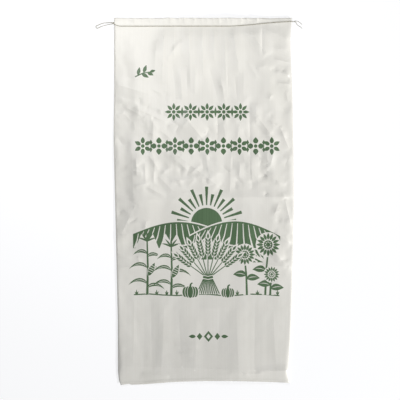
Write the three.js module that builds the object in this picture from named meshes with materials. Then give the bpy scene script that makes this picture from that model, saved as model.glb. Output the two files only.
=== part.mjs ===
import * as THREE from 'three';
import { mergeVertices } from 'three/addons/utils/BufferGeometryUtils.js';

// An empty woven polypropylene sack lying on its back: a seamless woven tube,
// sewn flat across its head through both layers and left open at its mouth.
// Millimetres. X runs across the sack, +Y towards the sewn head, Z up from the floor.

// The woven tube
const SACK_WIDTH = 510;
const SACK_LENGTH = 1040;
const WALL = 0.7;
const SIDE_FOLD = 1.8; // thickness where the tube is folded flat along its two sides
const SIDE_FOLD_DEPTH = 2; // how far the inside stops short of the folded edge
const CROWN = 13.5; // height of the front over the back, midway across
const MOUTH_CROWN = 11; // the same at the open mouth
const MOUTH_EASE = 0.2; // share of the length over which the mouth rises to the crown
const FULLNESS = 3; // how square the billow is across the sack

// Each side edge stands in from the widest line: share of the length from the mouth, then millimetres
const LEFT_EDGE = [[0, 17], [0.04, 12], [0.18, 12], [0.5, 4.2], [0.65, 0], [0.69, 0], [0.8, 1.4], [1, 1.4]];
const RIGHT_EDGE = [[0, 12.5], [0.05, 12.4], [0.18, 7.1], [0.34, 2.8], [0.48, 0], [0.52, 0], [0.67, 1.7],
  [0.78, 4.2], [0.925, 9.9], [1, 5]];
// The cut edge of the mouth rises from its left corner: share of the width, then millimetres
const MOUTH_EDGE = [[0, 0], [0.06, 0], [0.18, 2], [0.37, 10], [0.5, 11], [0.75, 10.5], [1, 5.7]];

// The sewn head
const HEAD_BAND = 24; // cloth left above the seam
const SEAM_CLIMB = 13; // how far the seam wanders up towards the right corner
const CLIMB_FROM = 0.62; // share of the width where it starts to climb
const SEAM_HOOK = 6; // the seam's last stitches at the left run up towards the knot
const HOOK_SHARE = 0.03;
const SEAM_GRIP = 1.8; // both layers, held flat by the stitches
const SEAM_LIFT = 1.9; // the underside is held off the floor here by its thread
const LIFT_REACH = 22;
const HEAD_RISE = 48; // how fast the front rises again below the seam
const SEWN_SHARE = 0.995; // share of the body, from the mouth, that is hollow
const LIP_RISE = 3.2; // the front lip stands off the back lip at the cut edge
const LIP_SEWN = 0.16; // share of the lip that the stitches hold together

// Gathers at the seam: place across (-1 to 1), lean, reach below the seam, height
const GATHERS = [
  { at: -0.38, lean: -0.12, reach: 30, height: 2.2 },
  { at: -0.2, lean: -0.06, reach: 36, height: 3 },
  { at: -0.04, lean: 0, reach: 42, height: 2.4 },
  { at: 0.16, lean: 0.02, reach: 36, height: 3.2 },
  { at: 0.36, lean: 0.14, reach: 34, height: 4 },
  { at: 0.58, lean: 0.2, reach: 22, height: 2.4 },
];
const GATHER_WIDTH = 13;
const GATHER_SPREAD = 0.14; // a gather widens as it runs down the cloth
const RUFFLE = 0.8; // how much of a gather shows in the lip above the seam

// Creases in the front, ridges up and valleys down: ends as shares across (-1 to 1) and
// along from the mouth (0 to 1), then height and half width
const CREASES = [
  { name: 'left shoulder facet', from: [-0.6, 0.885], to: [-0.28, 0.944], height: 2.2, width: 26 },
  { name: 'right shoulder facet', from: [0.66, 0.968], to: [0.97, 0.938], height: 3.4, width: 13 },
  { name: 'right shoulder hollow', from: [0.49, 0.95], to: [0.61, 0.9], height: -3.4, width: 15 },
  { name: 'right edge tuck', from: [0.76, 0.915], to: [0.96, 0.88], height: -3, width: 13 },
  { name: 'right edge ridge', from: [0.78, 0.872], to: [0.97, 0.84], height: 2.6, width: 12 },
  { name: 'right edge second tuck', from: [0.8, 0.82], to: [0.97, 0.845], height: -2.6, width: 11 },
  { name: 'left diagonal ridge', from: [-0.92, 0.782], to: [-0.46, 0.742], height: 2.6, width: 14 },
  { name: 'left diagonal fold', from: [-0.93, 0.756], to: [-0.5, 0.72], height: -3.6, width: 11 },
  { name: 'middle swell', from: [-0.35, 0.75], to: [0.4, 0.72], height: 1.8, width: 45 },
  { name: 'right streak', from: [0.6, 0.73], to: [0.63, 0.59], height: -2.6, width: 12 },
  { name: 'right edge hollow', from: [0.9, 0.77], to: [0.88, 0.66], height: -2.4, width: 16 },
  { name: 'middle ridge', from: [0.17, 0.67], to: [0.14, 0.565], height: 2.8, width: 14 },
  { name: 'middle streak', from: [0.3, 0.66], to: [0.32, 0.55], height: -2.6, width: 11 },
  { name: 'left edge hollow', from: [-0.88, 0.65], to: [-0.87, 0.51], height: -3.2, width: 18 },
  { name: 'left crinkle', from: [-0.72, 0.63], to: [-0.67, 0.53], height: 2.6, width: 12 },
  { name: 'middle hollow', from: [-0.28, 0.6], to: [0.02, 0.57], height: -2.6, width: 20 },
  { name: 'packing fold', from: [-0.96, 0.512], to: [0.96, 0.512], height: 1.5, width: 10 },
  { name: 'left step ridge', from: [-0.97, 0.418], to: [-0.7, 0.396], height: 2.8, width: 13 },
  { name: 'left step', from: [-0.98, 0.392], to: [-0.74, 0.37], height: -3.4, width: 11 },
  { name: 'right upper streak', from: [0.72, 0.418], to: [0.97, 0.39], height: 2.4, width: 11 },
  { name: 'right lower streak', from: [0.74, 0.36], to: [0.97, 0.33], height: 2.2, width: 12 },
  { name: 'lower left band', from: [-0.68, 0.25], to: [-0.61, 0.09], height: 2.2, width: 14 },
  { name: 'lower left edge band', from: [-0.88, 0.16], to: [-0.86, 0.04], height: 2, width: 11 },
  { name: 'lower soft band', from: [-0.4, 0.09], to: [0.08, 0.086], height: 2.2, width: 16 },
  { name: 'mouth hollow', from: [-0.36, 0.05], to: [0.25, 0.05], height: -2, width: 14 },
  { name: 'mouth right lip', from: [0.66, 0.03], to: [0.95, 0.028], height: 2.4, width: 14 },
];
// Long soft waves down the cloth
const WAVE_LENGTH = 92;
const WAVE_HEIGHT = 0.9;
const WAVE_DRIFT = 0.06;

// Sewing thread
const THREAD_DIAMETER = 1.6;
const TAIL_DIAMETER = 1.7;
const END_DIAMETER = 1.3;
const CLEARANCE = 0.3;
const KNOT_LENGTH = 6.5;
const KNOT_WIDTH = 5;
const KNOT_TOP = 6;
const THREAD_SIDES = 8;
const SEAM_STEPS = 60;
const TAIL_STEPS = 30;
const END_STEPS = 14;
// Routes from a head corner of the sack, out over the floor: across, along and up
const LEFT_TAIL = [[-5.6, -13.6, 3.2], [-13, -13.2, 1.8], [-22, -13.4, 0.95], [-31, -14.4, 0.95],
  [-42, -18.2, 0.95], [-49.5, -22, 0.95], [-52.4, -25.6, 0.95], [-49.6, -28.6, 0.95], [-44, -27.2, 0.95],
  [-36, -23.8, 0.95], [-25.5, -21, 0.95], [-14, -18.6, 1.4], [-5.6, -16.6, 2.6]];
const RIGHT_NEEDLE_END = [[0.3, -11, 4.8], [5, -11, 4.2], [10.5, -12, 2.6], [13.5, -17.4, 1.3], [17.6, -21.4, 0.8],
  [22.5, -24.2, 0.75], [29, -29.7, 0.75]];
const RIGHT_LOOPER_END = [[0.3, -11, 0.8], [5, -10.2, 0.8], [10, -8.8, 0.75], [17, -9.6, 0.75], [23, -13.4, 0.75],
  [28.5, -18.6, 0.75]];
const KNOT_PLACE = [-2.8, -15, 3.1];

// Mesh steps
const ACROSS = 44;
const BACK_ACROSS = 6;
const EDGE_CROWDING = 0.15;
const LIP_STEPS = 4;
// Rows along the body, closer together where the cloth is more creased: share of the length, then rows
const BODY_ZONES = [[0.04, 3], [0.42, 11], [0.92, 29], [1, 7]];

const HALF_WIDTH = SACK_WIDTH / 2;
const HALF_LENGTH = SACK_LENGTH / 2;

const blend = (a, b, t) => THREE.MathUtils.smoothstep(t, a, b);
const bell = (t) => Math.exp(-t * t);

// Reads a short list of [place, value] points, straight between them.
function along(points, place) {
  const next = points.findIndex(([at]) => at >= place);
  if (next <= 0) {
    return points[next === 0 ? 0 : points.length - 1][1];
  }
  const [a, low] = points[next - 1];
  const [b, high] = points[next];
  return THREE.MathUtils.mapLinear(place, a, b, low, high);
}

const share = (y) => (y + HALF_LENGTH) / SACK_LENGTH;
const leftEdge = (y) => -HALF_WIDTH + along(LEFT_EDGE, share(y));
const rightEdge = (y) => HALF_WIDTH - along(RIGHT_EDGE, share(y));
const acrossSack = (x) => (x + HALF_WIDTH) / SACK_WIDTH;
const mouthLine = (x) => -HALF_LENGTH + along(MOUTH_EDGE, acrossSack(x));
const seamClimb = (x) => SEAM_CLIMB * blend(CLIMB_FROM, 1, acrossSack(x));
const seamHook = (x) => SEAM_HOOK * (1 - blend(0, HOOK_SHARE, acrossSack(x)));
const seamLine = (x) => HALF_LENGTH - HEAD_BAND + seamClimb(x) + seamHook(x);

// A ridge or valley between two points of the cloth, fading out past its ends.
function crease({ from, to, height, width }, x, y) {
  const start = new THREE.Vector2(from[0] * HALF_WIDTH, from[1] * SACK_LENGTH - HALF_LENGTH);
  const run = new THREE.Vector2(to[0] * HALF_WIDTH, to[1] * SACK_LENGTH - HALF_LENGTH).sub(start);
  const point = new THREE.Vector2(x, y).sub(start);
  const length = run.length();
  const onward = point.dot(run) / length;
  const aside = point.cross(run) / length;
  const past = Math.max(-onward, onward - length, 0);
  return height * bell(aside / width) * bell(past / width);
}

// A gather springs from the seam, widens below it and shows as a ruffle in the lip above.
function gather({ at, lean, reach, height }, x, below) {
  const middle = at * HALF_WIDTH + lean * Math.max(below, 0);
  const width = GATHER_WIDTH + GATHER_SPREAD * Math.max(below, 0);
  const travel = below / reach;
  const rise = below > 0 ? travel * Math.exp(1 - travel) : RUFFLE * Math.min(-below / HEAD_BAND, 1);
  return height * rise * bell((x - middle) / width);
}

const back = (x, y) => SEAM_LIFT * bell((seamLine(x) - y) / LIFT_REACH);

// Height of the front layer's outer face.
function front(x, y) {
  const below = seamLine(x) - y;
  const gathers = GATHERS.reduce((sum, g) => sum + gather(g, x, below), 0);
  const floor = back(x, y) + SEAM_GRIP;
  if (below <= 0) {
    return floor + LIP_RISE * Math.min(-below / HEAD_BAND, 1) + gathers;
  }
  const middle = (leftEdge(y) + rightEdge(y)) / 2;
  const reach = (rightEdge(y) - leftEdge(y)) / 2;
  const aside = Math.min(Math.abs(x - middle) / reach, 1);
  const billow = Math.sqrt(1 - aside ** FULLNESS);
  const crown = THREE.MathUtils.lerp(MOUTH_CROWN, CROWN, blend(0, MOUTH_EASE, share(y)));
  const creases = CREASES.reduce((sum, c) => sum + crease(c, x, y), 0);
  const wave = WAVE_HEIGHT * Math.sin((2 * Math.PI * (x + WAVE_DRIFT * y)) / WAVE_LENGTH);
  const open = 1 - Math.exp(-below / HEAD_RISE);
  const rise = (crown - SIDE_FOLD) * billow + (creases + wave) * Math.min(2 * billow, 1);
  return floor + Math.max(SIDE_FOLD - SEAM_GRIP + open * rise + gathers * billow, 0);
}

// One closed loop of the tube: left to right over the front, then back under it.
// inward is 0 for the outer face and the wall's thickness for the inner one.
function loop(lineAt, y, inward) {
  const inset = inward > 0 ? SIDE_FOLD_DEPTH : 0;
  const left = leftEdge(y) + inset;
  const right = rightEdge(y) - inset;
  const points = [];
  const place = (t, top) => {
    const crowded = THREE.MathUtils.lerp(t, Math.sin((t * Math.PI) / 2), EDGE_CROWDING);
    const x = THREE.MathUtils.mapLinear(crowded, -1, 1, left, right);
    const line = lineAt(x);
    const z = top ? front(x, line) - inward : back(x, line) + inward;
    points.push(new THREE.Vector3(x, line, z));
  };
  for (let i = 0; i <= ACROSS; i += 1) {
    place((2 * i) / ACROSS - 1, true);
  }
  for (let i = BACK_ACROSS; i >= 0; i -= 1) {
    place((2 * i) / BACK_ACROSS - 1, false);
  }
  return points;
}

const bodyLine = (t) => (x) => THREE.MathUtils.lerp(mouthLine(x), seamLine(x), t);
const lipLine = (t) => (x) => THREE.MathUtils.lerp(seamLine(x), HALF_LENGTH, t);
const bodyY = (t) => THREE.MathUtils.lerp(-HALF_LENGTH, HALF_LENGTH - HEAD_BAND, t);
const lipY = (t) => HALF_LENGTH - HEAD_BAND * (1 - t);

// Shares of the body, from the mouth to the seam, that have a row of points.
function bodyRows() {
  const rows = [0];
  let from = 0;
  for (const [to, count] of BODY_ZONES) {
    for (let i = 1; i <= count; i += 1) {
      rows.push(THREE.MathUtils.lerp(from, to, i / count));
    }
    from = to;
  }
  return rows;
}

// The cloth is followed in one run of loops: from the sewn end of the inside out to the mouth,
// round its cut edge, along the outside to the head, over that edge and down between the lips.
function sackLoops() {
  const rows = bodyRows();
  const inside = [...rows.filter((t) => t < SEWN_SHARE), SEWN_SHARE].reverse();
  const lips = Array.from({ length: LIP_STEPS }, (_, i) => (i + 1) / LIP_STEPS);
  const between = [...lips.slice(0, -1).filter((t) => t > LIP_SEWN), 1].reverse();
  return [
    ...inside.map((t) => loop(bodyLine(t), bodyY(t), WALL)),
    ...rows.map((t) => loop(bodyLine(t), bodyY(t), 0)),
    ...lips.map((t) => loop(lipLine(t), lipY(t), 0)),
    ...[...between, LIP_SEWN].map((t) => loop(lipLine(t), lipY(t), WALL)),
  ];
}

function sackGeometry() {
  const loops = sackLoops();
  const around = loops[0].length;
  const faces = [];
  const cap = (first, turned) => {
    const outline = loops[first].map((p) => new THREE.Vector2(p.x, p.z));
    for (const [a, b, c] of THREE.ShapeUtils.triangulateShape(outline, [])) {
      const start = first * around;
      faces.push(start + a, start + (turned ? c : b), start + (turned ? b : c));
    }
  };
  for (let row = 0; row + 1 < loops.length; row += 1) {
    for (let i = 0; i < around; i += 1) {
      const a = row * around + i;
      const b = row * around + ((i + 1) % around);
      faces.push(a, b, b + around, a, b + around, a + around);
    }
  }
  cap(0, false);
  cap(loops.length - 1, true);
  const geometry = new THREE.BufferGeometry().setFromPoints(loops.flat());
  geometry.setIndex(faces);
  geometry.computeVertexNormals();
  return geometry;
}

// A plain round thread along a route.
function threadGeometry(points, diameter, steps) {
  const section = new THREE.Shape();
  for (let i = 0; i < THREAD_SIDES; i += 1) {
    const turn = (2 * Math.PI * i) / THREAD_SIDES;
    const x = (diameter / 2) * Math.cos(turn);
    const y = (diameter / 2) * Math.sin(turn);
    if (i === 0) {
      section.moveTo(x, y);
    } else {
      section.lineTo(x, y);
    }
  }
  section.closePath();
  const route = new THREE.CatmullRomCurve3(points.map((p) => new THREE.Vector3(...p)));
  const geometry = new THREE.ExtrudeGeometry(section, { steps, extrudePath: route, bevelEnabled: false });
  geometry.deleteAttribute('normal');
  geometry.deleteAttribute('uv');
  const merged = mergeVertices(geometry);
  merged.computeVertexNormals();
  return merged;
}

// The run of thread across the head, over the seam or under it.
function seamRoute(height) {
  const y = HALF_LENGTH - HEAD_BAND;
  const points = [];
  for (let i = 0; i <= SEAM_STEPS; i += 1) {
    const x = THREE.MathUtils.lerp(leftEdge(y), rightEdge(HALF_LENGTH), i / SEAM_STEPS);
    points.push([x, seamLine(x), height]);
  }
  return points;
}

function fromCorner(x, route) {
  return route.map(([across, along_, up]) => [x + across, HALF_LENGTH + along_, up]);
}

function knotGeometry() {
  const geometry = new THREE.SphereGeometry(1, THREAD_SIDES, THREAD_SIDES / 2);
  geometry.scale(KNOT_WIDTH / 2, KNOT_LENGTH / 2, KNOT_TOP / 2);
  geometry.deleteAttribute('normal');
  geometry.deleteAttribute('uv');
  const merged = mergeVertices(geometry);
  const [across, along_, up] = KNOT_PLACE;
  merged.translate(leftEdge(HALF_LENGTH) + across, HALF_LENGTH + along_, up);
  merged.computeVertexNormals();
  return merged;
}

const cloth = new THREE.MeshStandardMaterial({ name: 'woven_cloth', color: 0xf1ede2, roughness: 0.6 });
const thread = new THREE.MeshStandardMaterial({ name: 'sewing_thread', color: 0x8f8a76, roughness: 0.8 });

const group = new THREE.Group();
function add(name, geometry, material) {
  const mesh = new THREE.Mesh(geometry, material);
  mesh.name = name;
  group.add(mesh);
}

const overSeam = SEAM_LIFT + SEAM_GRIP + CLEARANCE + THREAD_DIAMETER / 2;
const underSeam = SEAM_LIFT - CLEARANCE - THREAD_DIAMETER / 2;
const leftCorner = leftEdge(HALF_LENGTH);
const rightCorner = rightEdge(HALF_LENGTH);

add('woven_sack', sackGeometry(), cloth);
add('seam_needle_thread', threadGeometry(seamRoute(overSeam), THREAD_DIAMETER, SEAM_STEPS), thread);
add('seam_looper_thread', threadGeometry(seamRoute(underSeam), THREAD_DIAMETER, SEAM_STEPS), thread);
add('tail_knot', knotGeometry(), thread);
add('left_thread_tail', threadGeometry(fromCorner(leftCorner, LEFT_TAIL), TAIL_DIAMETER, TAIL_STEPS), thread);
add('right_needle_end', threadGeometry(fromCorner(rightCorner, RIGHT_NEEDLE_END), END_DIAMETER, END_STEPS), thread);
add('right_looper_end', threadGeometry(fromCorner(rightCorner, RIGHT_LOOPER_END), END_DIAMETER, END_STEPS), thread);

export default group;
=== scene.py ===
import math
import random

import bmesh
import bpy
from mathutils import Matrix, Vector, noise
from mathutils.bvhtree import BVHTree
from mathutils.geometry import delaunay_2d_cdt, interpolate_bezier


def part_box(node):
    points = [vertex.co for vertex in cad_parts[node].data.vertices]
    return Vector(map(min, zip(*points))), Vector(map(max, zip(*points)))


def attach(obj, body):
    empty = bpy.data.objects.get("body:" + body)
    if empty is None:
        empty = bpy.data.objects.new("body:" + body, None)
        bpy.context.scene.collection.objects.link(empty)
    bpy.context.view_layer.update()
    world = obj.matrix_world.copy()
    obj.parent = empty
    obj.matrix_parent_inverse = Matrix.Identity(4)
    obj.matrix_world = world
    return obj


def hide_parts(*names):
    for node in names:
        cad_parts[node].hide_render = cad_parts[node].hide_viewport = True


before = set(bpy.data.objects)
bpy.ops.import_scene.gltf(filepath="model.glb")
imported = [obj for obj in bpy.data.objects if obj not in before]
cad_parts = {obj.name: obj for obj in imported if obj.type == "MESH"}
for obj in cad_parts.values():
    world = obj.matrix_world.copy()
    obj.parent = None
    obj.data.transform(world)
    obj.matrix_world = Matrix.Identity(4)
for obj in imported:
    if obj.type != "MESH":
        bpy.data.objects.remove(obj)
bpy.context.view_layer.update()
scene = bpy.context.scene
scene.view_settings.view_transform = "Standard"


# Camera: it looks straight down at the sack on the floor, with the sewn head at the top.
# The picture takes in 1.13 m at the height of the sack's front.
FIELD = 1.1304
CAMERA_HEIGHT = 2.6
FRONT_HEIGHT = 0.008
SENSOR = 36
camera_data = bpy.data.cameras.new("camera")
camera_data.sensor_width = SENSOR
camera_data.lens = SENSOR * (CAMERA_HEIGHT - FRONT_HEIGHT) / FIELD
camera = bpy.data.objects.new("camera", camera_data)
camera.location = (-0.0106, 0.0042, CAMERA_HEIGHT)
scene.collection.objects.link(camera)
scene.camera = camera


# Thread tails: the chain stitch's own thread runs on past both corners of the head.
# At the left it is doubled back into a loop behind a knot, at the right two cut ends
# lie loose on the floor. It is dull spun yarn of two plies, twisted together.
TAIL_DIAMETER = 0.0017
END_DIAMETER = 0.0013
LOBES = 1.18  # a yarn of two lobes is drawn wider, so that on average it is as thick as stated
PLY_TWIST = 0.004  # one full turn of the plies
ROUTE_STEPS = 8  # between two points of a route
# Routes in millimetres from the sack's corner, each starting where the thread leaves the cloth.
LEFT_CORNER = Vector((-0.2536, 0.52, 0))
RIGHT_CORNER = Vector((0.25, 0.52, 0))
LEFT_TAIL = [
    (-5.6, -13.6, 3.2), (-13, -13.2, 1.8), (-22, -13.6, 1.1), (-31, -14.8, 1.1),
    (-40, -17.8, 1.1), (-45.6, -20.2, 1.1), (-49.5, -22, 1.1), (-51.6, -24, 1.1),
    (-51.5, -26.9, 1.1), (-49.4, -29, 1.1), (-46.4, -28.9, 1.1), (-42.2, -27, 1.1),
    (-36, -24.2, 1.1), (-25.5, -20.8, 1.1), (-14, -18.4, 1.5), (-5.6, -16.6, 2.6),
]
RIGHT_NEEDLE_END = [
    (0.3, -11, 4.8), (5, -11, 4.2), (10.5, -12, 2.6), (13.5, -17.4, 1.3),
    (17.6, -21.4, 0.9), (22.5, -24.2, 0.87), (29, -29.7, 0.87),
]
RIGHT_LOOPER_END = [
    (0.3, -11, 0.87), (5, -10.2, 0.87), (10, -8.8, 0.87), (17, -9.6, 0.87),
    (23, -13.4, 0.87), (28.5, -18.6, 0.87),
]


def linear(code):
    """An sRGB hex colour as linear red, green, blue and alpha."""
    parts = [int(code[i : i + 2], 16) / 255 for i in (1, 3, 5)]
    return [p / 12.92 if p <= 0.04045 else ((p + 0.055) / 1.055) ** 2.4 for p in parts] + [1]


def add(tree, kind, links=None, **settings):
    """Adds a node. links gives each input a value, or another node's output."""
    node = tree.nodes.new(kind)
    for name, value in settings.items():
        setattr(node, name, value)
    for socket, value in (links or {}).items():
        if isinstance(value, bpy.types.NodeSocket):
            tree.links.new(value, node.inputs[socket])
        else:
            node.inputs[socket].default_value = value
    return node


def smooth_route(corner, points, steps):
    """A smooth run of points, in metres, through a route given in millimetres from a corner."""
    p = [corner + Vector(q) / 1000 for q in points]
    p = [p[0] * 2 - p[1], *p, p[-1] * 2 - p[-2]]
    route = []
    for a, b, c, d in zip(p, p[1:], p[2:], p[3:]):
        route += interpolate_bezier(b, b + (c - a) / 6, c - (d - b) / 6, c, steps + 1)[:-1]
    return [*route, p[-2]]


def yarn(name, route, diameter, twist=PLY_TWIST, sides=10, closed=False):
    """Two twisted plies along a route: a two-lobed ring, carried on and turned at each step."""
    bm = bmesh.new()
    ring = bmesh.ops.create_circle(bm, radius=diameter / 2, segments=sides)["verts"]
    for v in ring:  # drawn in at the waist between the plies
        v.co *= 0.88 + 0.12 * math.cos(2 * math.atan2(v.co.y, v.co.x))
    profile = [v.co.copy() for v in ring]
    edges = list(bm.edges)
    normal = Vector((0, 0, 1))
    gone = 0.0
    count = len(route)
    for k, point in enumerate(route):
        ahead = route[(k + 1) % count] if closed else route[min(k + 1, count - 1)]
        behind = route[k - 1] if closed or k else route[0]
        run = (ahead - behind).normalized()
        gone += (point - route[k - 1]).length if k else 0
        normal = (normal - run * normal.dot(run)).normalized()
        turn = 2 * math.pi * gone / twist
        across = Matrix.Rotation(turn, 3, run) @ normal
        other = run.cross(across)
        if k:
            made = bmesh.ops.extrude_edge_only(bm, edges=edges)["geom"]
            edges = [g for g in made if isinstance(g, bmesh.types.BMEdge) and g.is_boundary]
            ring = [g for g in made if isinstance(g, bmesh.types.BMVert)]
        for v, spot in zip(ring, profile):
            v.co = point + across * spot.x + other * spot.y
    if closed:
        bmesh.ops.bridge_loops(bm, edges=[e for e in bm.edges if e.is_boundary])
    else:
        bmesh.ops.holes_fill(bm, edges=[e for e in bm.edges if e.is_boundary], sides=sides)
    bmesh.ops.recalc_face_normals(bm, faces=bm.faces)
    mesh = bpy.data.meshes.new(name)
    bm.to_mesh(mesh)
    bm.free()
    mesh.shade_smooth()
    piece = bpy.data.objects.new(name, mesh)
    scene.collection.objects.link(piece)
    return piece


# Spun polyester sewing yarn: a dull grey-brown, mottled every 3 mm or so, with fine fibres
# standing off it, which soften its edges and leave no shine.
spun_yarn = bpy.data.materials.new("spun_yarn")
spun_yarn.use_nodes = True
tree = spun_yarn.node_tree
shader = tree.nodes["Principled BSDF"]
shader.inputs["Roughness"].default_value = 0.85
shader.inputs["IOR"].default_value = 1.5
shader.inputs["Sheen Weight"].default_value = 0.3
where = add(tree, "ShaderNodeTexCoord").outputs["Object"]
mottle = add(tree, "ShaderNodeTexNoise", {"Vector": where, "Scale": 1 / 0.003, "Detail": 3})
shade = add(tree, "ShaderNodeValToRGB", {"Fac": mottle.outputs["Fac"]})
shade.color_ramp.elements[0].position = 0.3
shade.color_ramp.elements[0].color = linear("#7D7864")
shade.color_ramp.elements[1].position = 0.7
shade.color_ramp.elements[1].color = linear("#B4AE97")
tree.links.new(shade.outputs["Color"], shader.inputs["Base Color"])
fibre = add(tree, "ShaderNodeTexNoise", {"Vector": where, "Scale": 1 / 0.0004, "Detail": 2})
fuzz = add(
    tree, "ShaderNodeBump",
    {"Height": fibre.outputs["Fac"], "Strength": 0.5, "Distance": 0.0002},
)
tree.links.new(fuzz.outputs["Normal"], shader.inputs["Normal"])

left_route = smooth_route(LEFT_CORNER, LEFT_TAIL, ROUTE_STEPS)
left_tail = yarn("left_tail_loop", left_route, TAIL_DIAMETER * LOBES)
needle_route = smooth_route(RIGHT_CORNER, RIGHT_NEEDLE_END, ROUTE_STEPS)
needle_end = yarn("right_needle_thread_end", needle_route, END_DIAMETER * LOBES)
looper_route = smooth_route(RIGHT_CORNER, RIGHT_LOOPER_END, ROUTE_STEPS)
looper_end = yarn("right_looper_thread_end", looper_route, END_DIAMETER * LOBES)

# The knot at the left corner: the doubled thread turned round itself and pulled tight. Its
# closed route winds three times lengthwise for every two turns round.
KNOT_STEPS = 60
KNOT_MARGIN = 0.0006  # keeps the yarn's own thickness within the knot's size
knot_low, knot_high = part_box("tail_knot")
knot_middle = (Vector(knot_low) + Vector(knot_high)) / 2
knot_reach = (Vector(knot_high) - Vector(knot_low)) / 2
knot_route = []
for k in range(KNOT_STEPS):
    turn = 2 * math.pi * k / KNOT_STEPS
    out = 0.62 + 0.3 * math.cos(3 * turn)
    knot_route.append(
        knot_middle
        + Vector((
            (knot_reach.x - KNOT_MARGIN) * 0.85 * math.sin(3 * turn),
            (knot_reach.y - KNOT_MARGIN) * out * math.cos(2 * turn),
            (knot_reach.z - KNOT_MARGIN) * out * math.sin(2 * turn),
        ))
    )
knot = yarn("tail_knot_turns", knot_route, TAIL_DIAMETER, closed=True)
for piece, node in (
    (left_tail, "left_thread_tail"),
    (needle_end, "right_needle_end"),
    (looper_end, "right_looper_end"),
    (knot, "tail_knot"),
):
    piece.data.materials.append(spun_yarn)
    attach(piece, "root")
    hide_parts(node)


# Printed front: one green ink, rolled on to the flat cloth before the tube was cut.
# Places are in millimetres on the front. Later shapes lie over earlier ones, and a shape
# that isn't ink is bare cloth left inside the print.
LONGEST_SIDE = 8  # so that the ink follows the creases
print_shapes = []


def shape(outline, ink=True):
    """Keeps one filled outline, turned to run anticlockwise, with its long sides split."""
    corners = [Vector((x, y)) for x, y in outline]
    if sum(a.cross(b) for a, b in zip(corners, [*corners[1:], corners[0]])) < 0:
        corners.reverse()
    points = []
    for a, b in zip(corners, [*corners[1:], corners[0]]):
        steps = max(1, math.ceil((b - a).length / LONGEST_SIDE))
        points += [a.lerp(b, k / steps) for k in range(steps)]
    print_shapes.append((points, ink))


def leaf(x, y, length, width, turn, bend=0.0, ink=True, steps=8):
    """A pointed leaf from its stalk at x, y. turn is in degrees, bend curls its tip."""
    sides = ([], [])
    for k in range(steps + 1):
        t = k / steps
        angle = math.radians(turn + bend * t)
        spine = Vector((x, y)) + Vector((math.cos(angle), math.sin(angle))) * length * t
        across = Vector((-math.sin(angle), math.cos(angle))) * width / 2
        across *= math.sin(math.pi * t**0.85)
        sides[0].append(spine + across)
        sides[1].append(spine - across)
    shape([*sides[0], *reversed(sides[1][1:-1])], ink)


def disc(x, y, across, up, ink=True, steps=18):
    """A round or oval patch, given by its two half widths."""
    outline = []
    for k in range(steps):
        angle = 2 * math.pi * k / steps
        outline.append(Vector((across * math.cos(angle), up * math.sin(angle))) + Vector((x, y)))
    shape(outline, ink)


def stroke(points, wide, ink=True, end=None):
    """A line of ink that runs from one width to another."""
    end = wide if end is None else end
    p = [Vector(q) for q in points]
    sides = ([], [])
    for k, q in enumerate(p):
        run = (p[min(k + 1, len(p) - 1)] - p[max(k - 1, 0)]).normalized()
        half = (wide + (end - wide) * k / (len(p) - 1)) / 2
        sides[0].append(q + Vector((-run.y, run.x)) * half)
        sides[1].append(q - Vector((-run.y, run.x)) * half)
    shape([*sides[0], *reversed(sides[1])], ink)


def lozenge(x, y, across, up, ink=True):
    """A diamond, given by its two half widths."""
    shape([(x - across, y), (x, y - up), (x + across, y), (x, y + up)], ink)


def rosette(x, y, reach, petals, broad):
    """A flower of pointed petals round a bare ring and a bead."""
    for k in range(petals):
        angle = 90 + 360 * k / petals
        out = Vector((math.cos(math.radians(angle)), math.sin(math.radians(angle))))
        start = out * reach * 0.24
        leaf(x + start.x, y + start.y, reach * 0.76, reach * broad, angle)
    disc(x, y, reach * 0.3, reach * 0.3, ink=False)
    disc(x, y, reach * 0.2, reach * 0.2)


def corn(x, ground, top):
    """A maize plant: stalk, arching leaves, a cob and a tassel."""
    stroke([(x, ground), (x + 2, (ground + top) / 2), (x, top)], 7, end=4)
    tall = top - ground
    blades = (
        (0.12, 1, 50), (0.2, -1, 54), (0.42, 1, 56), (0.5, -1, 52), (0.7, 1, 42), (0.76, -1, 40),
    )
    for share, side, long in blades:
        lean = 58 if side > 0 else 122
        root = ground + tall * share
        leaf(x, root, long, 11, lean, bend=-side * 62)
        leaf(x + side * 1.5, root + 2, long * 0.8, 1.8, lean, bend=-side * 60, ink=False)
    for spread in (-46, -24, 0, 24, 46):
        leaf(x, top - 2, 30, 5, 90 + spread, bend=spread * 0.5)
    cob_turn, cob_length = 64, 42
    cob = Vector((x + 3, ground + tall * 0.35))
    cob_lean = math.radians(cob_turn)
    cob_run = Vector((math.cos(cob_lean), math.sin(cob_lean))) * cob_length
    leaf(x + 3, ground + tall * 0.34, cob_length + 4, 21, cob_turn, ink=False)
    leaf(*cob, cob_length, 16, cob_turn)
    for step in (0.3, 0.45, 0.6, 0.75):
        row = cob + cob_run * step
        stroke([row + Vector((-6, 3)), row + Vector((6, -3))], 1.6, ink=False)


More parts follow.
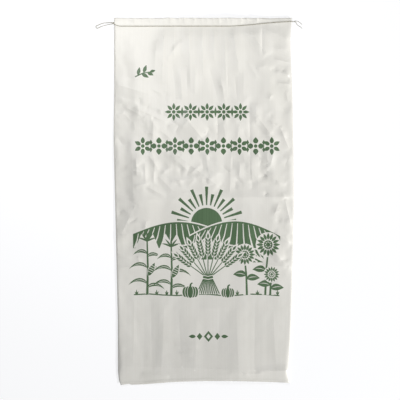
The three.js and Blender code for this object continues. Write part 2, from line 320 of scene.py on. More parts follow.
def sunflower(x, y, reach, ground, sway):
    """A flower head on a stem with two broad leaves."""
    middle = (ground + y) / 2
    stroke([(x + sway, ground), (x + sway * 0.7, middle), (x, y - reach * 0.6)], 6, end=4.4)
    leaf(x + sway * 0.8, middle - 12, 38, 20, 28, bend=-24)
    leaf(x + sway * 0.8, middle - 2, 38, 20, 152, bend=24)
    leaf(x + sway * 0.8 + 4, middle - 10, 28, 1.8, 26, bend=-20, ink=False)
    leaf(x + sway * 0.8 - 4, middle, 28, 1.8, 154, bend=20, ink=False)
    disc(x, y, reach * 1.08, reach * 1.08, ink=False)
    for k in range(16):
        angle = 360 * k / 16
        out = Vector((math.cos(math.radians(angle)), math.sin(math.radians(angle))))
        start = out * reach * 0.42
        leaf(x + start.x, y + start.y, reach * 0.6, reach * 0.25, angle)
    disc(x, y, reach * 0.44, reach * 0.44, ink=False)
    disc(x, y, reach * 0.38, reach * 0.38)
    seeds = reach * 0.22
    for k in range(8):
        angle = 2 * math.pi * k / 8
        seed_x, seed_y = x + seeds * math.cos(angle), y + seeds * math.sin(angle)
        disc(seed_x, seed_y, 1.7, 1.7, ink=False, steps=6)


def wheat(foot, tip):
    """A stalk from its foot to the start of the ear, then the ear's paired grains and awns."""
    foot, tip = Vector(foot), Vector(tip)
    run = (tip - foot).normalized()
    aside = Vector((-run.y, run.x))
    turn = math.degrees(math.atan2(run.y, run.x))
    leaf(*(tip - run * 8), 78, 27, turn, ink=False)
    stroke([foot, tip], 3, end=2.4)
    for k in range(5):
        base = tip + run * (k * 9)
        for side in (-1, 1):
            leaf(*(base + aside * side * 0.9), 13.5, 5.6, turn + side * 30)
            leaf(*(base + run * 10.3 + aside * side * 5.3), 13, 1.3, turn + side * 14)
    leaf(*(tip + run * 45), 16, 6, turn)


def pumpkin(x, y, across, up):
    """Overlapping ribs with a bare line round each, and a bent stalk."""
    disc(x, y, across + 3, up + 3, ink=False)
    for share in (-0.62, 0.62, -0.3, 0.3, 0):
        disc(x + across * share, y, across * 0.4, up * (1 - 0.24 * abs(share)) + 1.6, ink=False)
        disc(x + across * share, y, across * 0.4 - 1.4, up * (1 - 0.24 * abs(share)))
    stroke([(x, y + up - 2), (x + 1, y + up + 5), (x + 6, y + up + 9)], 6, end=3.6)


# The small mark near the head's left corner: a sprig.
stroke([(-194, 352), (-172, 362), (-148, 366)], 3.4, end=2.4)
SPRIG_LEAVES = (
    (-186, 356, 24, 78), (-176, 361, 24, -28), (-170, 363, 24, 70), (-160, 365, 20, -26),
)
for x, y, long, turn in SPRIG_LEAVES:
    leaf(x, y, long, 10, turn)
leaf(-152, 366, 16, 8, 14)

# Two rows of ornament across the upper front.
for k in range(5):
    rosette(-84.5 + 47 * k, 252.5, 25.5, 8, 0.34)
    if k < 4:
        lozenge(-61 + 47 * k, 252.5, 4, 15)
for k in range(9):
    if k % 2 == 0:
        rosette(-172 + 45.5 * k, 156.5, 26, 6, 0.44)
    else:
        rosette(-172 + 45.5 * k, 156.5, 25, 4, 0.6)
    if k < 8:
        lozenge(-149.2 + 45.5 * k, 166.5, 4.5, 8)
        lozenge(-149.2 + 45.5 * k, 146.5, 4.5, 8)

# The picture: crops standing in front of ploughed hills at sunrise.
SUN = Vector((8, -62))
disc(*SUN, 44, 44, steps=36)
for k in range(15):
    angle = math.radians(6 + 12 * k)
    out = Vector((math.cos(angle), math.sin(angle)))
    reach = 104 if k % 2 else 84
    aside = Vector((-out.y, out.x))
    near, far = SUN + out * 52, SUN + out * reach
    shape([near + aside * 1.6, near - aside * 1.6, far - aside * 4.6, far + aside * 4.6])


def hill(left, right, foot, crest, lift, furrows, lean):
    """A rounded field: solid ink with bare furrows running down from its crest."""
    steps = 22
    ridge = [
        (left + (right - left) * k / steps, crest + lift * math.sin(math.pi * k / steps))
        for k in range(steps + 1)
    ]
    shape([(x, y + 4) for x, y in ridge] + [(right, foot), (left, foot)], ink=False)
    shape([*ridge, (right, foot), (left, foot)])
    for k in range(1, furrows):
        x = left + (right - left) * k / furrows
        y = crest + lift * math.sin(math.pi * k / furrows)
        start = Vector((x, y - 5))
        spread = (x - (left + right) / 2) * 0.55 + lean
        fall = Vector((min(max(spread, left - x + 4), right - x - 4), foot - y + 6))
        bow = Vector((fall.x * 0.35, fall.y * 0.5))
        stroke([start, start + bow, start + fall], 1.8, ink=False, end=4.6)


hill(-200, 60, -132, -92, 34, 17, 10)
hill(-40, 216, -132, -98, 42, 17, -8)
hill(-160, 180, -172, -142, 20, 26, 0)
GROUND = -264
for k in range(15):
    x = -190 + 28.5 * k
    for turn, long in ((66, 12), (92, 16), (116, 11)):
        leaf(x, GROUND - 1, long, 3.4, turn)
stroke([(-198 + 41.2 * k, GROUND + 2.4 * math.sin(k * 1.7)) for k in range(11)], 3.4)
for x, top in ((-160, -112), (-92, -128)):
    for side in (-1, 1):
        leaf(x - side * 4, GROUND + 2, 172, 66, 90 + side * 4, ink=False)
    corn(x, GROUND, top)
for x, y, reach, sway in ((182, -122, 33, -8), (116, -150, 29, 6), (192, -206, 22, -4)):
    stroke([(x + sway, GROUND), (x, y)], 20, ink=False)
    sunflower(x, y, reach, GROUND, sway)
TIE = Vector((12, -212))
for half, end in ((44, GROUND + 2), (56, TIE.y + 48)):
    waist = [(TIE.x - 17, TIE.y), (TIE.x + 17, TIE.y)]
    shape([*waist, (TIE.x + half, end), (TIE.x - half, end)], ink=False)
for k in (-4, 4, -3, 3, -2, 2, -1, 1, 0):
    away = Vector((math.sin(math.radians(13.5 * k)), math.cos(math.radians(13.5 * k))))
    start = TIE + Vector((k * 1.9, 0))
    wheat(start, start + away * (62 - abs(k) * 3))
for k in range(-5, 6):
    stroke([TIE + Vector((k * 1.7, 2)), Vector((TIE.x + k * 6.4, GROUND + 3))], 2.6, end=3.4)
stroke([TIE + Vector((-15, -1)), TIE + Vector((0, -4)), TIE + Vector((15, -1))], 11, ink=False)
stroke([TIE + Vector((-14, -1)), TIE + Vector((0, -4)), TIE + Vector((14, -1))], 6.6)
pumpkin(-38, -256, 23, 17)
pumpkin(68, -258, 19, 14)

# The small mark under the picture: a row of lozenges between two leaves.
MARK_X, MARK_Y = 13.4, -381.5
lozenge(MARK_X, MARK_Y, 13, 15.5)
lozenge(MARK_X, MARK_Y, 6, 7.5, ink=False)
for side in (-1, 1):
    lozenge(MARK_X + side * 25, MARK_Y, 8, 10)
    leaf(MARK_X + side * 36, MARK_Y, 20, 10, 0 if side > 0 else 180)


# The sack: one seamless tube of woven polypropylene tape, lying flat on its back. It is pinched
# where it is sewn, open at the mouth, and keeps the creases it was packed with. Its broad form
# is read from the solid; the fine crinkles of the stiff tape are added to it.
CLOTH = 0.00035  # a little thicker than the real 0.2 mm, so that the cut edges show
ACROSS, ALONG = 102, 208  # steps of the front's net
BACK_ACROSS = 14  # the back lies flat and needs few
FRONT_SHORT = 0.0032  # the front is cut this much shorter at the mouth
FLOOR_GAP = 0.0001
SIDE_HEIGHT = 0.0024  # the front's height at its side folds
LIP_END = -0.48  # past this the net's border is the mouth
SOFTENED = 0.4  # the share of the solid's own creases that the sharp ones take the place of
# The front's height across the lower half, which lies almost flat between its side folds.
LAIN = ((-0.248, 0.0031), (-0.17, 0.0018), (0.1, 0.0076), (0.19, 0.0042), (0.25, 0.0026))
solid = BVHTree.FromObject(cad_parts["woven_sack"], bpy.context.evaluated_depsgraph_get())
sack_low, sack_high = (Vector(c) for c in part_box("woven_sack"))


def thread_solid(node):
    """A plain thread's solid, to find its route by, with its lowest and highest corner."""
    tree = BVHTree.FromObject(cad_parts[node], bpy.context.evaluated_depsgraph_get())
    return tree, *(Vector(c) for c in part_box(node))


def thread_at(thread, x):
    """Where a plain thread's middle lies at x."""
    tree, low, high = thread
    middle = (low.z + high.z) / 2
    near = tree.ray_cast(Vector((x, -1, middle)), Vector((0, 1, 0)))[0]
    far = tree.ray_cast(Vector((x, 2, middle)), Vector((0, -1, 0)))[0]
    return (near.y + far.y) / 2


seam = thread_solid("seam_needle_thread")
THREAD_END = 0.0004  # routes stop this far inside a thread's solid


def seam_at(x):
    """Where the seam crosses the sack at x."""
    _, low, high = seam
    return thread_at(seam, min(max(x, low.x + THREAD_END), high.x - THREAD_END))


def edge_at(y, side):
    """Where the folded edge lies on the left (-1) or the right (1)."""
    hits = []
    for height in (0.0004, 0.001, 0.0017, 0.0026, 0.0034):
        hit = solid.ray_cast(Vector((side, y, height)), Vector((-side, 0, 0)))[0]
        if hit:
            hits.append(hit.x)
    return min(hits) if side < 0 else max(hits)


def back_foot(x):
    """Where a ray just over the floor meets the cut edge of the back layer."""
    return solid.ray_cast(Vector((x, -1, 0.00035)), Vector((0, 1, 0)))[0]


def mouth_corner(side):
    """How far the mouth reaches to the left (-1) or the right (1)."""
    x, step = side * 0.26, side * 0.0005
    while True:
        hit = back_foot(x)
        if hit and hit.y < sack_low.y + 0.02:
            return x - step
        x -= step


mouth_left, mouth_right = mouth_corner(-1), mouth_corner(1)


def mouth_at(x):
    """Where the open mouth's cut edge lies."""
    return back_foot(min(max(x, mouth_left), mouth_right)).y


def height_at(x, y, side):
    """The solid's outer face, from above (1) or below (-1)."""
    hit = solid.ray_cast(Vector((x, y, side)), Vector((0, 0, -side)))[0]
    if hit is None:
        hit = solid.find_nearest(Vector((x, y, 0.0018 if side > 0 else 0)))[0]
    return hit.z


def cloth_rows(columns, short):
    """Points of one layer, row by row from the mouth, in metres. Its cut edges waver a little."""
    rows = []
    for j in range(ALONG + 1):
        t = j / ALONG
        left, right = (
            edge_at(foot + 0.0005 + t * (sack_high.y - foot - 0.001), side)
            for side, foot in ((-1, mouth_at(mouth_left)), (1, mouth_at(mouth_right)))
        )
        row = []
        for i in range(columns + 1):
            x = left + (right - left) * i / columns
            inside = min(1, (x - left) / 0.03, (right - x) / 0.03)
            foot = mouth_at(x) + short * inside * (1 + 0.5 * noise.noise(Vector((x * 28, 0, 0))))
            head = sack_high.y - 0.0012 * inside * (1 + noise.noise(Vector((x * 45, 7, 0))))
            row.append(Vector((x, foot + t * (head - foot))))
        rows.append(row)
    return rows


front_rows = cloth_rows(ACROSS, FRONT_SHORT)


def side_gap(x, y):
    """How far a point lies in from the nearer side fold."""
    t = (y - sack_low.y) / (sack_high.y - sack_low.y)
    row = front_rows[min(ALONG, max(0, round(t * ALONG)))]
    return max(0, min(x - row[0].x, row[-1].x - x))


def facets(wide, long, height, seed):
    """A net of flat, sharp-edged facets of random height, as a tree to read heights from."""
    dice = random.Random(seed)
    spots = []
    reach_x, reach_y = math.ceil(0.27 / wide) + 1, math.ceil(0.53 / long) + 1
    for j in range(-reach_y, reach_y + 1):
        for i in range(-reach_x, reach_x + 1):
            x = wide * (i + 0.5 * (j % 2) + dice.uniform(-0.42, 0.42))
            y = long * (j + dice.uniform(-0.42, 0.42))
            spots.append(Vector((x, y)))
    spots, _, triangles, *_ = delaunay_2d_cdt(spots, [], [], 0, 1e-6)
    return BVHTree.FromPolygons([(*p, dice.uniform(-height, height)) for p in spots], triangles)


def depth_in(net, x, y):
    """The height of such a net at a point."""
    return net.ray_cast(Vector((x, y, 1)), Vector((0, 0, -1)))[0].z


COARSE = facets(0.03, 0.042, 0.0036, 4)
SMALL = facets(0.013, 0.018, 0.0016, 9)
BANDS = facets(0.045, 0.3, 0.0016, 6)


def crinkle(x, y):
    """Soft unevenness of the stiff cloth, in metres: facets where it was crushed, long runs below."""
    along = (y - sack_low.y) / (sack_high.y - sack_low.y)
    across = 2 * (x - sack_low.x) / (sack_high.x - sack_low.x) - 1
    crushed = math.exp(-(((along - 0.67) / 0.15) ** 2))
    edges = abs(across) ** 3 * min(1, along * 3)
    uneven = depth_in(COARSE, x, y) * (0.1 + 0.2 * crushed + 0.15 * edges)
    uneven += depth_in(SMALL, x, y) * (0.05 + 0.25 * crushed + 0.3 * edges)
    bands = depth_in(BANDS, x, y) * min(1, max(0, 1.6 - 2.4 * along))
    bands *= min(1, side_gap(x, y) / 0.04)
    return (uneven + bands) * min(1, along * 40)


# Sharp creases from packing and from the gathers at the seam: the ridge's two ends, how far its
# right and its left flank reach, and its height (a valley's is negative), in millimetres.
PRESSED = [
    (-110, 541, -118, 332, 25, 31, 3.4), (-87, 536, -83, 406, 17, 14, 2.5),
    (-64, 456, -104, 400, 17, 10, 2.2), (-45, 541, -37, 309, 34, 23, 4.1),
    (-6, 541, -2, 349, 23, 17, 3.4), (28, 536, 29, 394, 20, 20, 3.2),
    (74, 547, 100, 360, 28, 25, 4.7), (56, 536, 66, 292, 17, 20, 3.1),
    (119, 502, 179, 411, 34, 23, 6.0), (165, 502, 165, 411, 7, 7, -2.4),
    (153, 496, 261, 448, 25, 34, 3.2), (244, 473, 244, 400, 6, 40, 2.1),
    (244, 389, 244, 304, 6, 40, 2.1), (199, 403, 247, 391, 8, 8, 2.4),
    (204, 369, 247, 355, 10, 8, 2.7), (207, 335, 247, 332, 8, 8, 2.1),
    (-87, 394, -78, 276, 17, 17, -2.0), (-47, 383, -47, 315, 12, 12, -1.1),
    (15, 380, 43, 276, 20, 17, -2.2), (43, 374, 63, 264, 17, 17, 2.0),
    (66, 386, 69, 321, 12, 12, -1.2), (88, 355, 94, 281, 8, 8, -1.4),
    (122, 397, 153, 346, 8, 11, 2.0), (108, 496, 131, 462, 11, 17, 1.8),
    (-67, 372, -59, 287, 14, 14, 1.4), (-22, 389, -25, 298, 14, 11, 1.4),
    (114, 372, 111, 298, 17, 14, 1.3), (-132, 456, -141, 355, 23, 23, 1.4),
    (-259, 335, -149, 301, 28, 28, 2.5), (-197, 264, -101, 222, 42, 14, 5.2),
    (-186, 276, -184, 239, 17, 8, 1.6), (-223, 267, -186, 249, 13, 8, 1.6),
    (-159, 244, -158, 194, 13, 13, 1.8), (-142, 233, -143, 165, 28, 14, 3.6),
    (-61, 247, 12, 157, 31, 48, 7.4), (39, 242, 39, 168, 7, 7, -1.4),
    (129, 287, 132, 49, 7, 7, -1.6), (-206, 185, -197, -18, 37, 42, 3.2),
    (-197, 41, -149, 54, 8, 8, 2.0), (-158, 40, -107, 14, 10, 10, 2.3),
    (-167, 114, -163, 44, 10, 8, 2.2), (-191, 123, -189, 69, 13, 8, 2.2),
    (-158, 134, -124, 86, 13, 10, 2.2), (-141, 89, -141, 49, 8, 8, 1.6),
    (-101, 150, 43, 42, 34, 48, 6.8), (-90, 58, -11, 69, 13, 8, 2.2),
    (77, 146, 74, 21, 17, 20, 3.2), (102, 112, 100, 64, 13, 25, 3.1),
    (148, 278, 148, 213, 17, 20, 3.8), (148, 243, 190, 189, 17, 17, 4.1),
    (213, 213, 242, 148, 13, 17, 4.3), (252, 264, 252, 196, 6, 31, 2.4),
    (252, 131, 252, 10, 6, 40, 2.7), (132, 129, 136, 55, 28, 17, 3.2),
    (179, 151, 179, 83, 20, 17, 3.8), (-11, 10, 275, 13, 17, 17, 2.2),
    (-259, 3, 12, 7, 13, 17, 1.8), (-61, 27, -5, 23, 8, 8, 1.6), (176, 75, 232, 47, 17, 13, 3.4),
    (-129, 72, -84, 27, 13, 13, 1.8), (-73, 112, -33, 78, 14, 11, 1.8),
    (4, 146, 15, 72, 17, 14, 2.0), (52, 236, 63, 174, 14, 14, 1.8),
    (102, 225, 91, 168, 17, 11, 1.8), (199, 146, 187, 95, 14, 11, 2.7),
    (-124, 202, -90, 174, 14, 11, 1.8), (-256, -122, -166, -117, 20, 37, -2.2),
    (-187, 1, -235, -95, 25, 20, 2.0), (201, -86, 247, -122, 20, 17, 4.3),
    (186, -129, 235, -182, 23, 17, 4.3), (167, -177, 275, -189, 17, 17, 3.0),
    (230, 4, 252, -92, 8, 28, 3.0), (-248, -153, -191, -167, 11, 11, 1.3),
    (-248, -189, -175, -181, 11, 14, 1.3), (-300, -464, 430, -484, 42, 90, 5.5),
    (150, -480, 266, -476, 25, 18, 2.4), (71, -482, 128, -485, 14, 10, 1.4),
    (111, -486, 167, -487, 14, 8, 1.8), (-177, -486, -98, -495, 17, 8, 2.1),
    (-95, 547, -94, 493, 11, 11, 1.6), (-70, 547, -69, 493, 11, 11, 2.3),
    (-56, 547, -54, 493, 11, 11, 1.8), (-28, 547, -26, 493, 11, 11, 2.3),
    (9, 547, 11, 493, 11, 11, 2.2), (43, 547, 45, 493, 11, 11, 2.2),
    (66, 547, 67, 493, 11, 11, 1.6), (105, 547, 107, 493, 11, 11, 2.9),
    (122, 547, 124, 493, 11, 11, 1.8), (150, 547, 152, 493, 11, 11, 2.9),
    (-152, 547, -150, 493, 11, 11, 1.1), (-197, 547, -196, 493, 11, 11, 1.1),
    (-196, -250, -200, -470, 34, 22, 1.1), (-150, -270, -146, -500, 26, 30, -1.2),
    (-112, -290, -118, -470, 24, 20, 1.1), (-72, -300, -62, -470, 26, 30, -1.0),
    (-20, -320, -24, -480, 22, 26, 0.9), (46, -290, 40, -440, 30, 30, -1.0),
    (92, -300, 98, -480, 30, 24, 1.2), (146, -280, 142, -500, 24, 28, -1.0),
    (196, -300, 204, -470, 30, 24, 1.3), (-84, -405, -14, -412, 12, 14, 1.0),
    (-70, -428, -30, -432, 10, 12, 0.9), (-10, -300, 70, -306, 14, 16, 0.8),
]
# Small creases besides, most of them where the upper half was crushed.
dice = random.Random(12)
for _ in range(150):
    x, y = dice.uniform(-240, 240), dice.gauss(170, 120)
    if abs(x) < 150 and not 20 < y < 330:
        x = math.copysign(dice.uniform(190, 245), x)
    turn, reach = dice.uniform(0, math.pi), dice.uniform(8, 22)
    reach_x, reach_y = reach * math.cos(turn), reach * math.sin(turn)
    high = dice.choice((-1, 1)) * dice.uniform(0.8, 1.8) * (1.5 if x > 140 else 1)
    flanks = dice.uniform(7, 16), dice.uniform(7, 16)
    if x > -140 or y < 300:
        PRESSED.append((x - reach_x, y - reach_y, x + reach_x, y + reach_y, *flanks, high))
LIT_SIDE = Vector((0.9, -0.4))  # a crease's right flank is the one that looks this way
creases = []
for x0, y0, x1, y1, right, left, high in PRESSED:
    start, run = Vector((x0, y0)), Vector((x1 - x0, y1 - y0))
    aside = Vector((-run.y, run.x)).normalized()
    creases.append((start, run, aside if aside.dot(LIT_SIDE) > 0 else -aside, right, left, high))


def pressed(x, y):
    """The sharp creases' height at a point, all in millimetres. Each dies away to its ends."""
    total = 0.0
    for start, run, aside, right, left, high in creases:
        away = Vector((x, y)) - start
        along = away.dot(run) / run.length_squared
        if 0 < along < 1:
            off = away.dot(aside)
            share = max(0, 1 - (off / right if off > 0 else -off / left))
            total += high * share * (4 * along * (1 - along)) ** 0.6
    return total


def hold(x, y):
    """1 where the cloth is free, down to 0 where it is sewn or folded round at a side."""
    below = seam_at(x) - y
    return min(1, side_gap(x, y) / 0.01) * min(1, below / 0.03 if below > 0 else -below / 0.012)


def lay(bm, rows, side):
    """Rows of points joined as a net on the solid's upper (1) or under (-1) face."""
    just_inside = 0.998
    net = [
        [bm.verts.new((p.x, p.y, height_at(*(p * just_inside), side))) for p in row] for row in rows
    ]
    for low, high in zip(net, net[1:]):
        for a, b, c, d in zip(low, low[1:], high[1:], high):
            bm.faces.new((a, b, c, d))
    return net


def settle(bm, verts, times):
    """Evens out the heights alone, and gives them."""
    for _ in range(times):
        bmesh.ops.smooth_vert(
            bm, verts=verts, factor=0.5, use_axis_x=False, use_axis_y=False, use_axis_z=True
        )
    return {v: v.co.z for v in verts}


def lain_at(x):
    """The height of the lower half at x."""
    for (x0, low), (x1, high) in zip(LAIN, LAIN[1:]):
        if x <= x1:
            return low + (high - low) * max(0, x - x0) / (x1 - x0)
    return LAIN[-1][1]


# The front's form: the solid's, evened out, with the upper half eased down to its sides and to
# the seam, the lower half lying almost flat, and the mouth's edge let down.
SEWN_REACH = 0.004  # the stitches hold the cloth still this near
form = bmesh.new()
lay(form, front_rows, 1)
free = [v for v in form.verts if not v.is_boundary and abs(v.co.y - seam_at(v.co.x)) > SEWN_REACH]
creased = settle(form, free, 5)
broad = settle(form, free, 90)
for v in free:
    x, y, _ = v.co
    eased = 0.45 + 0.55 * min(1, side_gap(x, y) / 0.06)
    eased *= 0.55 + 0.45 * min(1, abs(y - seam_at(x)) / 0.07)
    folds = creased[v] - broad[v]
    upper = SIDE_HEIGHT + (broad[v] - SIDE_HEIGHT) * eased
    upper += (1 - SOFTENED * min(1, max(0.3, 0.7 + 1.6 * y))) * folds
    lower = lain_at(x) + 0.35 * folds * min(1, side_gap(x, y) / 0.06)
    v.co.z = upper + (lower - upper) * min(1, max(0, (-0.06 - y) / 0.2))
for v in form.verts:
    if v.is_boundary and v.co.y < LIP_END:
        raised = max(0, v.co.z - lain_at(v.co.x))
        v.co.z -= 0.6 * raised * min(1, side_gap(v.co.x, v.co.y) / 0.02)
    v.co.z += crinkle(v.co.x, v.co.y) * hold(v.co.x, v.co.y)
front_form = BVHTree.FromBMesh(form)
form.free()

# The front is cut, flat, into one net along the print's outlines, the creases and the seam, so
# that the ink ends in a clean line. Then it is lifted on to its form.
flat = [p * 1000 for row in front_rows for p in row]
row_length = ACROSS + 1
last = ALONG * row_length
cloth_outline = [
    *range(row_length),
    *range(2 * row_length - 1, last + row_length, row_length),
    *range(last + ACROSS - 1, last - 1, -1),
    *range(last - row_length, 0, -row_length),
]
fields = [cloth_outline]
inked = [False]
for points, ink in print_shapes:
    fields.append(list(range(len(flat), len(flat) + len(points))))
    flat += points
    inked.append(ink)
BEYOND = 600  # a frame well outside the sack closes the net
for x, y in ((-BEYOND, -BEYOND), (BEYOND, -BEYOND), (BEYOND, BEYOND), (-BEYOND, BEYOND)):
    flat.append(Vector((x, y)))
RIDGE_STEP = 5
ridges = []
for start, run, *_ in creases:
    steps = math.ceil(run.length / RIDGE_STEP)
    line = [start + run * k / steps for k in range(steps + 1)]
    line = [p for p in line if side_gap(*p / 1000) > 0.004]
    ridges += [(len(flat) + k, len(flat) + k + 1) for k in range(len(line) - 1)]
    flat += line
sewn = []
SEAM_STEP = 6
for off in (-SEAM_STEP, 0, SEAM_STEP):
    line = [Vector((x, seam_at(x / 1000) * 1000 + off)) for x in range(-270, 271, SEAM_STEP)]
    line = [p for p in line if side_gap(*p / 1000) > 0.002]
    sewn += [(len(flat) + k, len(flat) + k + 1) for k in range(len(line) - 1)]
    flat += line
points, sides, faces, origins, side_origins, covers = delaunay_2d_cdt(
    flat, ridges + sewn, fields, 0, 1e-5
)

PINCH_REACH = 0.007  # the stitches pull the cloth down this far to each side
bm = bmesh.new()
front = []
for p in points:
    x, y = p / 1000
    above = Vector((x, y, 0.01))
    hit = front_form.ray_cast(above + Vector((0, 0, 1)), Vector((0, 0, -1)))[0]
    hit = hit or front_form.find_nearest(above)[0]
    pinched = height_at(x, seam_at(x), 1)
    height = pinched + (hit.z - pinched) * min(1, abs(y - seam_at(x)) / PINCH_REACH)
    front.append(bm.verts.new((x, y, height + pressed(*p) / 1000 * hold(x, y))))
for corners, cover in zip(faces, covers):
    if 0 in cover:
        face = bm.faces.new([front[c] for c in corners])
        face.material_index = 1 if inked[max(cover)] else 0
for (a, b), ids in zip(sides, side_origins):
    edge = bm.edges.get((front[a], front[b]))
    if edge and any(i < len(ridges) for i in ids):
        edge.smooth = False
vertex_of = {i: front[k] for k, ids in enumerate(origins) for i in ids}
bmesh.ops.delete(bm, geom=[v for v in front if not v.link_faces], context="VERTS")

# The back, and a rounded fold down each side that joins it to the front.
FOLD_BULGE = 0.0005
back = lay(bm, cloth_rows(BACK_ACROSS, 0), -1)
for row in back:
    for v in row:
        v.co.z += FLOOR_GAP
for column, side in ((0, -1), (ACROSS, 1)):
    upper = [vertex_of[j * row_length + column] for j in range(ALONG + 1)]
    lower = [row[0 if side < 0 else -1] for row in back]
    bulge = []
    for a, b in zip(upper, lower):
        middle = (a.co + b.co) / 2
        bulge.append(bm.verts.new(middle + Vector((side * FOLD_BULGE, 0, 0))))
    for k in range(ALONG):
        bm.faces.new((upper[k], upper[k + 1], bulge[k + 1], bulge[k]))
        bm.faces.new((bulge[k], bulge[k + 1], lower[k + 1], lower[k]))
bmesh.ops.remove_doubles(bm, verts=bm.verts, dist=0.0001)
bmesh.ops.recalc_face_normals(bm, faces=bm.faces)
mesh = bpy.data.meshes.new("sack_cloth")
bm.to_mesh(mesh)
bm.free()
mesh.shade_smooth()
sack = bpy.data.objects.new("sack_cloth", mesh)
scene.collection.objects.link(sack)
wall = sack.modifiers.new("cloth thickness", "SOLIDIFY")
wall.thickness = CLOTH
wall.offset = -1
wall.material_offset = 2

# Woven polypropylene: flat, faintly glossy tapes in a plain weave, cream and a little uneven
# from tape to tape. A real tape is about 2.6 mm wide.
TAPE = 0.0026
SHADE_RUN = 0.16  # a tape keeps its shade for about this far
CLOUD = 0.09


def woven(name, pale, deep):
    """Plain-woven tape in two shades, or the same with ink rolled over it."""
    material = bpy.data.materials.new(name)
    material.use_nodes = True
    tree = material.node_tree
    shader = tree.nodes["Principled BSDF"]
    shader.inputs["IOR"].default_value = 1.49
    where = add(tree, "ShaderNodeTexCoord").outputs["Object"]
    tapes = add(
        tree, "ShaderNodeMapping", {"Vector": where, "Scale": (1 / TAPE, 1 / TAPE, 0)}
    ).outputs["Vector"]
    split = add(tree, "ShaderNodeSeparateXYZ", {"Vector": tapes})
    bow_x = add(tree, "ShaderNodeMath", {0: split.outputs["X"], 1: 0.5}, operation="PINGPONG")
    bow_y = add(tree, "ShaderNodeMath", {0: split.outputs["Y"], 1: 0.5}, operation="PINGPONG")
    over = add(tree, "ShaderNodeTexChecker", {"Vector": tapes, "Scale": 1})
    weave = add(
        tree, "ShaderNodeMix",
        {0: over.outputs["Fac"], 2: bow_x.outputs["Value"], 3: bow_y.outputs["Value"]},
    )
    dome = add(tree, "ShaderNodeMath", {0: weave.outputs[0], 1: 0.45}, operation="POWER")
    crowned = add(
        tree, "ShaderNodeBump",
        {"Height": dome.outputs["Value"], "Strength": 0.25, "Distance": 0.0003},
    )
    tree.links.new(crowned.outputs["Normal"], shader.inputs["Normal"])
    runs = add(
        tree, "ShaderNodeMapping", {"Vector": where, "Scale": (1 / TAPE, 1 / SHADE_RUN, 0)}
    ).outputs["Vector"]
    uneven = add(tree, "ShaderNodeTexNoise", {"Vector": runs, "Scale": 0.8, "Detail": 2})
    cloud = add(tree, "ShaderNodeTexNoise", {"Vector": where, "Scale": 1 / CLOUD, "Detail": 3})
    both = add(
        tree, "ShaderNodeMath",
        {0: uneven.outputs["Fac"], 1: cloud.outputs["Fac"]}, operation="MULTIPLY",
    )
    shade = add(tree, "ShaderNodeValToRGB", {"Fac": both.outputs["Value"]})
    shade.color_ramp.elements[0].position = 0.12
    shade.color_ramp.elements[0].color = linear(deep)
    shade.color_ramp.elements[1].position = 0.38
    shade.color_ramp.elements[1].color = linear(pale)
    tree.links.new(shade.outputs["Color"], shader.inputs["Base Color"])
    gloss = add(
        tree, "ShaderNodeMapRange",
        {"Value": uneven.outputs["Fac"], "To Min": 0.36, "To Max": 0.46},
    )
    tree.links.new(gloss.outputs["Result"], shader.inputs["Roughness"])
    return material


bare_cloth = woven("woven_polypropylene", "#F2EFE7", "#EEEBE2")
printed_cloth = woven("green_ink_on_weave", "#5F7A58", "#4E6848")
for finish in (bare_cloth, printed_cloth, bare_cloth, bare_cloth):
    sack.data.materials.append(finish)
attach(sack, "root")
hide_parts("woven_sack")


# Chain stitch across the head: the needle thread shows on the front as short arched stitches
# that dip through both layers, and the looper thread lies under them on the back.
STITCH = 0.0078
STITCH_DIAMETER = 0.0016
STITCH_TWIST = 0.005
STITCH_STEPS = 7


def stitches(name, node, rise, sway):
    """A run of stitches on a plain thread's route, each arched by rise and bowed aside by sway."""
    thread = thread_solid(node)
    _, low, high = thread
    count = round((high.x - low.x) / STITCH) * STITCH_STEPS
    route = []
    for k in range(count + 1):
        x = low.x + THREAD_END + (high.x - low.x - 2 * THREAD_END) * k / count
        turn = math.pi * k / STITCH_STEPS
        lift = rise * (abs(math.sin(turn)) ** 0.7 - 0.75)
        y = thread_at(thread, x) + sway * math.sin(turn * 2)
        route.append(Vector((x, y, (low.z + high.z) / 2 + lift)))
    piece = yarn(name, route, STITCH_DIAMETER, twist=STITCH_TWIST, sides=8)
    piece.data.materials.append(spun_yarn)
    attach(piece, "root")
    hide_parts(node)


stitches("seam_needle_stitches", "seam_needle_thread", 0.0009, 0.0)
stitches("seam_looper_stitches", "seam_looper_thread", 0.0, 0.0004)


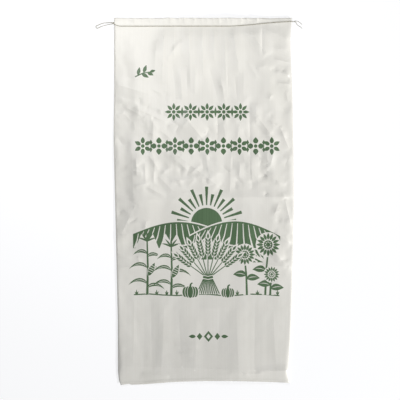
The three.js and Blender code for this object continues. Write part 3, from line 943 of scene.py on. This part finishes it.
# Floor and light: a white floor that keeps a faint shadow, a soft lamp over the head, a low
# window far off to the right that brings out the creases, and an even pale sky.
floor_mesh = bpy.data.meshes.new("floor")
bm = bmesh.new()
bmesh.ops.create_grid(bm, x_segments=1, y_segments=1, size=4)
bm.to_mesh(floor_mesh)
bm.free()
floor = bpy.data.objects.new("floor", floor_mesh)
scene.collection.objects.link(floor)
paper = bpy.data.materials.new("white_paper_floor")
paper.use_nodes = True
tree = paper.node_tree
tree.nodes.clear()
ray = add(tree, "ShaderNodeLightPath")
plain = add(tree, "ShaderNodeBsdfDiffuse", {"Color": linear("#EFEFEF")})
faint = add(tree, "ShaderNodeBsdfDiffuse", {"Color": linear("#B4B4B6")})
glow = add(tree, "ShaderNodeEmission", {"Color": linear("#FFFFFF"), "Strength": 0.645})
seen = add(tree, "ShaderNodeAddShader", {0: faint.outputs["BSDF"], 1: glow.outputs["Emission"]})
mirrored = add(
    tree, "ShaderNodeMath",
    {0: ray.outputs["Is Camera Ray"], 1: ray.outputs["Is Glossy Ray"]}, operation="MAXIMUM",
)
looked_at = add(
    tree, "ShaderNodeMath",
    {0: mirrored.outputs["Value"], 1: ray.outputs["Is Transmission Ray"]}, operation="MAXIMUM",
)
mix = add(
    tree, "ShaderNodeMixShader",
    {0: looked_at.outputs["Value"], 1: plain.outputs["BSDF"], 2: seen.outputs["Shader"]},
)
add(tree, "ShaderNodeOutputMaterial", {"Surface": mix.outputs["Shader"]})
floor_mesh.materials.append(paper)

for name, stand, aim, size, energy in (
    ("overhead", (-0.4, 0.75, 0.95), (-0.2, 0.3, 0), 0.5, 6.0),
    ("window", (4.8, -2.5, 1.8), (0, 0, 0), 0.6, 295),
):
    lamp_data = bpy.data.lights.new(name, "AREA")
    lamp_data.shape = "DISK"
    lamp_data.size = size
    lamp_data.energy = energy
    lamp = bpy.data.objects.new(name, lamp_data)
    lamp.location = stand
    lamp.rotation_euler = (Vector(aim) - lamp.location).to_track_quat("-Z", "Y").to_euler()
    scene.collection.objects.link(lamp)
world = bpy.data.worlds.new("sky")
world.use_nodes = True
world.node_tree.nodes["Background"].inputs["Color"].default_value = linear("#F2F5FA")
world.node_tree.nodes["Background"].inputs["Strength"].default_value = 0.3
scene.world = world
